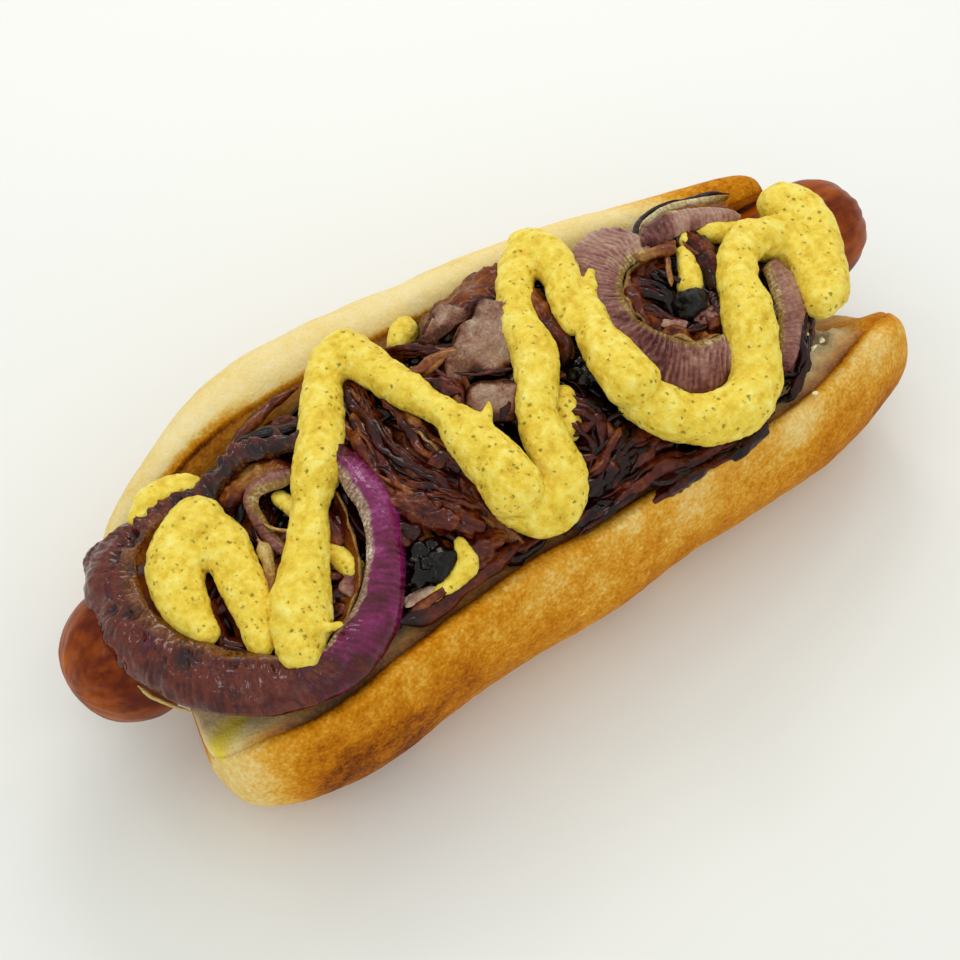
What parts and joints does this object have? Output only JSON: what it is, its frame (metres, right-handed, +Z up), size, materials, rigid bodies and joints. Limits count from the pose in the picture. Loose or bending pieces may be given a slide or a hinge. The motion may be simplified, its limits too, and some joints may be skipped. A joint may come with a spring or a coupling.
{
  "type": "hot dog",
  "caption": "Hot dog in a split crusty roll: a long smoked sausage under fried red onions, with mustard piped over it in a zigzag.",
  "frame": {"origin": "middle of the flat underside that the roll rests on", "axes": "+X along the roll and the sausage, +Y across it towards the pale far lobe, +Z up out of the split"},
  "size_m": [0.1868, 0.083, 0.0556],
  "materials": {
    "bread_crust": "matte, baked crust and pale crumb",
    "sausage_skin": "glossy smoked skin",
    "onion_skin": "glossy, wrinkled, wine red to brown",
    "onion_flesh": "satin, mauve brown with fine ribs",
    "onion_petal": "satin, brown and translucent",
    "char": "rough and black",
    "mustard": "satin, thick, with fine dark specks",
    "fried_onion": "glossy, dark caramel"
  },
  "bodies": {
    "root": {"roll": "bread_crust", "sausage": "sausage_skin", "onion_ring_left": "onion_skin", "onion_slice_right": "onion_flesh", "onion_curl_right": "onion_flesh", "onion_band_right": "onion_flesh", "onion_curl_left": "onion_flesh", "onion_petal_upper": "onion_petal", "onion_petal_middle": "onion_flesh", "onion_petal_left": "onion_petal", "onion_strip_near": "fried_onion", "charred_bit": "char", "mustard_left": "mustard", "mustard_smear": "mustard", "mustard_zigzag": "mustard", "onion_heap": "fried_onion"}
  },
  "joints": []
}
